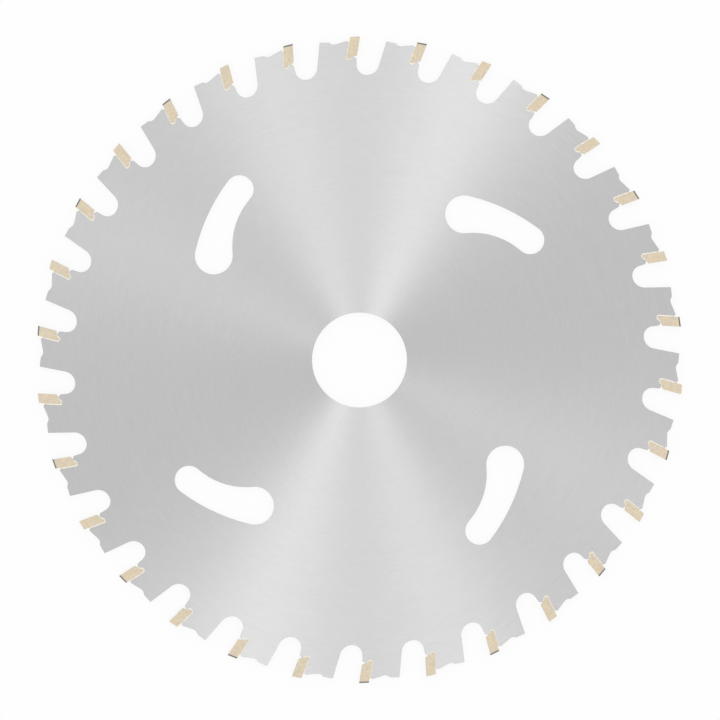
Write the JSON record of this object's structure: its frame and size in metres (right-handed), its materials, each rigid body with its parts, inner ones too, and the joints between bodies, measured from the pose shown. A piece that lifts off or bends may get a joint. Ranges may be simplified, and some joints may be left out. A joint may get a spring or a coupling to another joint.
{
  "type": "circular saw blade",
  "caption": "Flat toothed steel disc with brazed cutting tips and kidney-shaped cooling slots, clamped on an arbor to cut metal.",
  "frame": {"origin": "centre of the arbor bore, halfway through the plate", "axes": "+Z along the blade's axis, towards the face from which the blade turns clockwise; +Y through the cutting corner of tip_01"},
  "size_m": [0.1356, 0.136, 0.0016],
  "materials": {
    "plate_steel": "satin",
    "carbide": "satin",
    "solder": "satin"
  },
  "bodies": {
    "root": {"blade_plate": "plate_steel", "braze_layers": "solder", "tip_01": "carbide", "tip_02": "carbide", "tip_03": "carbide", "tip_04": "carbide", "tip_05": "carbide", "tip_06": "carbide", "tip_07": "carbide", "tip_08": "carbide", "tip_09": "carbide", "tip_10": "carbide", "tip_11": "carbide", "tip_12": "carbide", "tip_13": "carbide", "tip_14": "carbide", "tip_15": "carbide", "tip_16": "carbide", "tip_17": "carbide", "tip_18": "carbide", "tip_19": "carbide", "tip_20": "carbide", "tip_21": "carbide", "tip_22": "carbide", "tip_23": "carbide", "tip_24": "carbide", "tip_25": "carbide", "tip_26": "carbide", "tip_27": "carbide", "tip_28": "carbide", "tip_29": "carbide", "tip_30": "carbide"}
  },
  "joints": []
}
